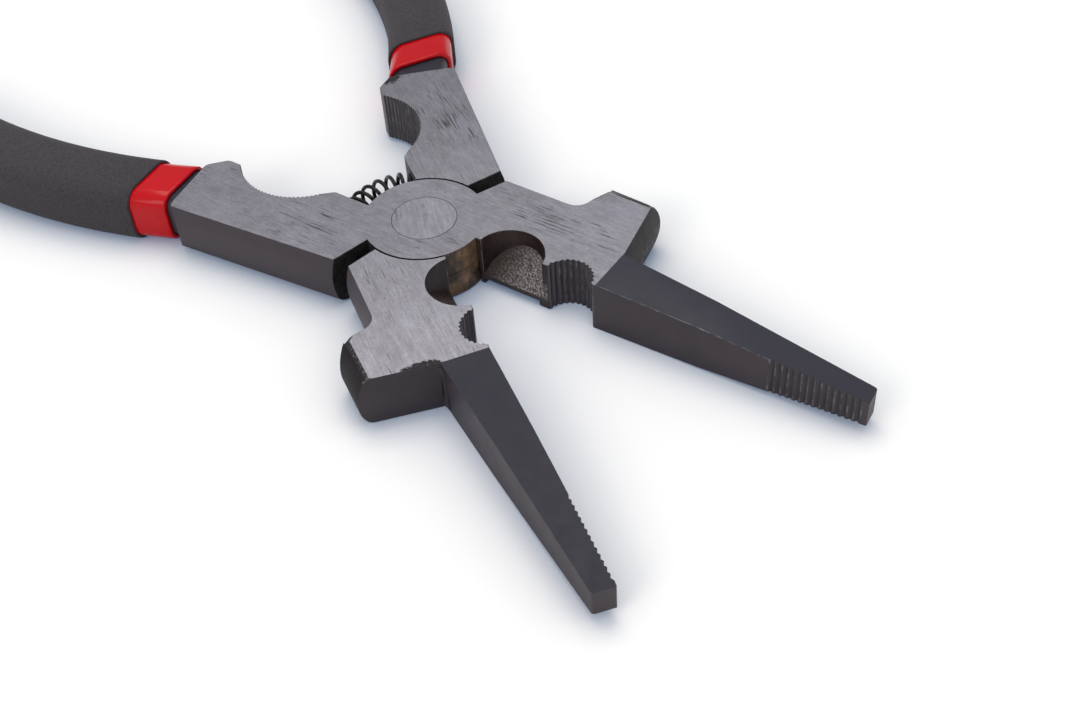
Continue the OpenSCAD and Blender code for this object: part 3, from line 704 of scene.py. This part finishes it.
def spring_tree(material):
    """Coil wound along a bowed path between two points, as a node tree with named sizes."""
    tree = bpy.data.node_groups.new("bowed_coil", "GeometryNodeTree")
    face = tree.interface
    for title, kind in (("Seat A", "NodeSocketVector"), ("Lead A", "NodeSocketVector"),
                        ("Lead B", "NodeSocketVector"), ("Seat B", "NodeSocketVector"),
                        ("Coil Radius", "NodeSocketFloat"), ("Wire Radius", "NodeSocketFloat"),
                        ("Turns", "NodeSocketFloat"), ("Steps", "NodeSocketInt")):
        face.new_socket(name=title, in_out="INPUT", socket_type=kind)
    face.new_socket(name="Geometry", in_out="OUTPUT", socket_type="NodeSocketGeometry")

    def add(kind, values=(), **settings):
        return add_node(tree, kind, values, **settings)

    def calc(operation, a, b=0.5):
        return add("ShaderNodeMath", {0: a, 1: b}, operation=operation).outputs[0]

    sizes = add("NodeGroupInput").outputs
    path = add("GeometryNodeCurvePrimitiveBezierSegment",
               {"Resolution": 64, "Start": sizes["Seat A"], "Start Handle": sizes["Lead A"],
                "End Handle": sizes["Lead B"], "End": sizes["Seat B"]}).outputs[0]
    beads = add("GeometryNodeMeshLine", {"Count": sizes["Steps"]}, mode="OFFSET").outputs[0]
    index = add("GeometryNodeInputIndex").outputs[0]
    along = calc("DIVIDE", index, calc("SUBTRACT", sizes["Steps"], 1.0))
    # The end turns lie closer together than the middle ones
    wave = calc("SINE", calc("MULTIPLY", along, 2 * math.pi))
    place = calc("SUBTRACT", along, calc("MULTIPLY", wave, CLOSE_ENDS))
    sample = add("GeometryNodeSampleCurve", {"Curves": path, "Factor": place}, mode="FACTOR",
                 use_all_curves=True)
    side = add("ShaderNodeVectorMath", {0: (0, 0, 1), 1: sample.outputs["Tangent"]},
               operation="CROSS_PRODUCT").outputs[0]
    turn = calc("MULTIPLY", calc("MULTIPLY", along, sizes["Turns"]), 2 * math.pi)
    across = calc("MULTIPLY", calc("COSINE", turn), sizes["Coil Radius"])
    up = calc("MULTIPLY", calc("SINE", turn), sizes["Coil Radius"])
    sideways = add("ShaderNodeVectorMath", {0: side, "Scale": across},
                   operation="SCALE").outputs[0]
    upwards = add("ShaderNodeCombineXYZ", {2: up}).outputs[0]
    centre = add("ShaderNodeVectorMath", {0: sample.outputs["Position"], 1: sideways}).outputs[0]
    point = add("ShaderNodeVectorMath", {0: centre, 1: upwards}).outputs[0]
    wound = add("GeometryNodeSetPosition", {"Geometry": beads, "Position": point}).outputs[0]
    wire = add("GeometryNodeMeshToCurve", {"Mesh": wound}).outputs[0]
    section = add("GeometryNodeCurvePrimitiveCircle",
                  {"Resolution": 10, "Radius": sizes["Wire Radius"]}).outputs[0]
    tube = add("GeometryNodeCurveToMesh",
               {"Curve": wire, "Profile Curve": section, "Fill Caps": True}).outputs[0]
    smooth = add("GeometryNodeSetShadeSmooth", {"Geometry": tube}).outputs[0]
    plain = add("GeometryNodeRealizeInstances", {"Geometry": smooth}).outputs[0]
    coated = add("GeometryNodeSetMaterial", {"Geometry": plain, "Material": material}).outputs[0]
    add("NodeGroupOutput", {0: coated})
    return tree


def build_spring():
    in_seat = SEAT_DEPTH - SEAT_END_GAP - SPRING_WIRE / 2
    # The coil bulges rearwards, more beside the lower lever
    seats = [rest_point((BLOCK_IN + in_seat, -SEAT_Y + ahead, MID_Z), side)
             for side, ahead in ((1, 0.0), (-1, 0.0004))]
    leads = [rest_point((BLOCK_IN + in_seat - lead, -SEAT_Y - bow, MID_Z), side)
             for side, lead, bow in ((1, 0.0078, 0.0020), (-1, 0.0062, 0.0030))]
    tree = spring_tree(spring_black("blackened_spring_wire"))
    holder = bpy.data.objects.new("coil_maker", bpy.data.meshes.new("coil_maker"))
    bpy.context.scene.collection.objects.link(holder)
    winding = holder.modifiers.new("winding", "NODES")
    winding.node_group = tree
    sizes = {"Seat A": seats[0], "Lead A": leads[0], "Lead B": leads[1], "Seat B": seats[1],
             "Coil Radius": (SPRING_D - SPRING_WIRE) / 2, "Wire Radius": SPRING_WIRE / 2,
             "Turns": SPRING_TURNS, "Steps": SPRING_TURNS * STEPS_PER_TURN}
    for item in tree.interface.items_tree:
        if item.item_type == "SOCKET" and item.in_out == "INPUT":
            value = sizes[item.name]
            winding[item.identifier] = list(value) if isinstance(value, Vector) else value
    depsgraph = bpy.context.evaluated_depsgraph_get()
    mesh = bpy.data.meshes.new_from_object(holder.evaluated_get(depsgraph))
    bpy.data.objects.remove(holder)
    mesh.name = "return_coil"
    spring = bpy.data.objects.new("return_coil", mesh)
    bpy.context.scene.collection.objects.link(spring)
    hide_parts("return_spring")
    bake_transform(spring)


for lever in SIDES:
    build_lever(lever)
    build_sleeve(lever)
    build_grip(lever)
build_rivet()
build_spring()


# ---------------------------------------------------------------- floor, light, camera

# The floor lies this much under the part
FLOOR_BELOW = 0.00005
LAMP_COLOUR = (1, 0.97, 0.93)


def floor_finish():
    """Pale studio floor: white where it is lit, keeping the shadows, with a painted contact
    shadow near the part.
    """
    s = Shader("studio_floor")
    faint = s.noise(s.place(), 30, 2, 0.5)
    tint = s.mix(s.span(faint, 0.3, 0.7), (0.86, 0.86, 0.86), (0.88, 0.88, 0.88))
    paper = s.add("ShaderNodeBsdfDiffuse", {"Color": tint, "Roughness": 1.0})
    # Seen straight or mirrored, it is white paper with bluish shadows, darkened near the part by a
    # painted contact shadow from ambient occlusion
    painted_shadow_ao = s.add("ShaderNodeAmbientOcclusion", {"Distance": 0.035}, samples=8).outputs["AO"]
    sheet = s.mix(s.span(painted_shadow_ao, 0.20, 0.96), (0.66, 0.645, 0.62), (1.06, 1.015, 0.93))
    white = s.add("ShaderNodeBsdfDiffuse", {"Color": sheet, "Roughness": 1.0})
    glow = s.add("ShaderNodeEmission", {"Color": (0.10, 0.42, 1.0, 1), "Strength": 0.13})
    both = s.add("ShaderNodeAddShader", {0: white.outputs[0], 1: glow.outputs[0]})
    # Away from the lamps the paper keeps its white
    reach = s.add("ShaderNodeVectorMath", {0: s.place()}, operation="LENGTH").outputs["Value"]
    far = s.add("ShaderNodeEmission", {"Color": (1, 1, 1, 1),
                                       "Strength": s.span(reach, 0.22, 0.9, 0.0, 0.5)})
    both = s.add("ShaderNodeAddShader", {0: both.outputs[0], 1: far.outputs[0]})
    pick = s.add("ShaderNodeMixShader", {0: s.sees_background(), 1: paper.outputs[0],
                                         2: both.outputs[0]})
    s.tree.links.new(pick.outputs[0], s.output.inputs[0])
    return s.material


def build_floor():
    """The pliers rest on the undersides of the lobes and on the front ends of the grips."""
    grip_low, grip_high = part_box("upper_grip")
    front = Vector((0, FACE_Y - 0.002, 0))
    back = Vector((0, grip_high[1] - 0.004, grip_low[2]))
    slope = (front.z - back.z) / (front.y - back.y)
    half = 4.0
    mesh = bpy.data.meshes.new("studio_floor")
    corners = [(x, y, front.z + slope * (y - front.y) - FLOOR_BELOW)
               for x, y in ((-half, -half), (half, -half), (half, half), (-half, half))]
    mesh.from_pydata(corners, [], [(0, 1, 2, 3)])
    mesh.materials.append(floor_finish())
    floor = bpy.data.objects.new("studio_floor", mesh)
    bpy.context.scene.collection.objects.link(floor)


def softbox(name, place, width, watts):
    """A square lamp that is turned to the middle of the part."""
    lamp = bpy.data.lights.new(name, "AREA")
    lamp.shape = "RECTANGLE"
    lamp.size = lamp.size_y = width
    lamp.energy = watts
    lamp.color = LAMP_COLOUR
    holder = bpy.data.objects.new(name, lamp)
    holder.location = place
    holder.rotation_euler = (-Vector(place)).to_track_quat("-Z", "Y").to_euler()
    bpy.context.scene.collection.objects.link(holder)


def build_light():
    """A dim room that is brighter overhead, and two softboxes."""
    world = bpy.data.worlds.new("studio")
    bpy.context.scene.world = world
    s = Shader("studio", world)
    way = s.add("ShaderNodeSeparateXYZ", {0: s.add("ShaderNodeTexCoord").outputs["Generated"]})
    high = s.math("POWER", s.math("MAXIMUM", way.outputs[2], 0.0), 2.0)
    room = s.add("ShaderNodeBackground", {"Color": (0.93, 0.96, 1.04, 1),
                                          "Strength": s.span(high, 0.0, 1.0, 0.45, 0.85)})
    # A white backdrop stands round the floor, up to a low height
    backdrop = s.add("ShaderNodeBackground", {"Color": (1, 1, 1, 1)})
    level = s.span(s.math("ABSOLUTE", way.outputs[2], 0.0), 0.30, 0.12)
    shown = s.math("MULTIPLY", s.sees_background(), level)
    pick = s.add("ShaderNodeMixShader", {0: shown, 1: room.outputs[0], 2: backdrop.outputs[0]})
    s.tree.links.new(pick.outputs[0], s.output.inputs[0])
    softbox("top_softbox", (-0.10, -0.15, 0.62), 0.40, 1.55)
    softbox("left_softbox", (0.60, 0.15, 0.42), 0.30, 0.85)


def build_camera():
    place = Vector((0.103195, 0.172697, 0.171859))
    right = Vector((-0.77400565, 0.63112603, -0.05094297))
    down = Vector((0.47495429, 0.52550152, -0.70588))
    forward = Vector((-0.41872863, -0.57055069, -0.70649716))
    lens = bpy.data.cameras.new("studio_camera")
    lens.sensor_width = 36
    lens.lens = 47.31
    lens.clip_start = 0.01
    camera = bpy.data.objects.new("studio_camera", lens)
    turn = Matrix((right, -down, -forward)).transposed().to_4x4()
    camera.matrix_world = Matrix.Translation(place) @ turn
    bpy.context.scene.collection.objects.link(camera)
    bpy.context.scene.camera = camera


build_floor()
build_light()
build_camera()
bpy.context.scene.view_settings.view_transform = "Standard"
